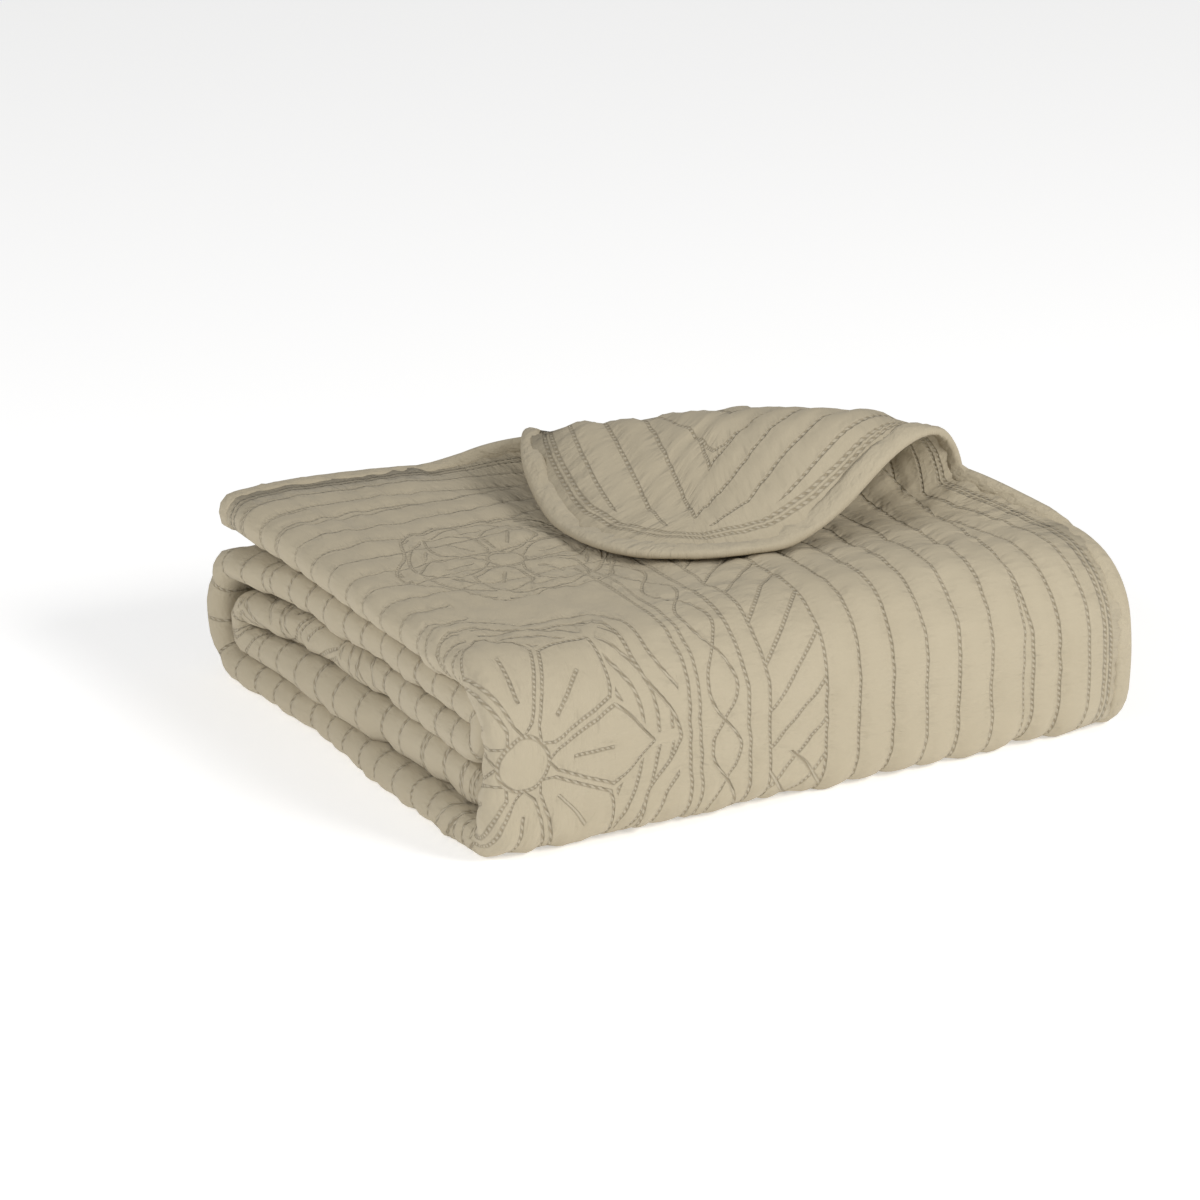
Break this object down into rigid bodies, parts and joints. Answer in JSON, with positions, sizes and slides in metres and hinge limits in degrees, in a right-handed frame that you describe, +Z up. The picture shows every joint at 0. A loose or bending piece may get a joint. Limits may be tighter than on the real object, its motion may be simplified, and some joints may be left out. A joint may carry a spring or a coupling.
{
  "type": "quilted throw, folded, with one corner turned back",
  "caption": "Folded quilted cotton throw with a scalloped bound edge, lying flat with one corner of its top layer rolled back",
  "frame": {"origin": "bottom centre of the bounding box, on the surface that the throw lies on", "axes": "+X along the bundle from its folded left end to the hems at the right end, +Y from the front wrap to the back hem, +Z up"},
  "size_m": [0.402, 0.3344, 0.1635],
  "materials": {
    "quilted_cotton": "matt washed cotton in khaki beige, quilted by machine",
    "binding_cotton": "matt washed cotton strip in the same khaki beige"
  },
  "bodies": {
    "root": {"quilted_panel": "quilted_cotton", "edge_binding": "binding_cotton"}
  },
  "joints": []
}
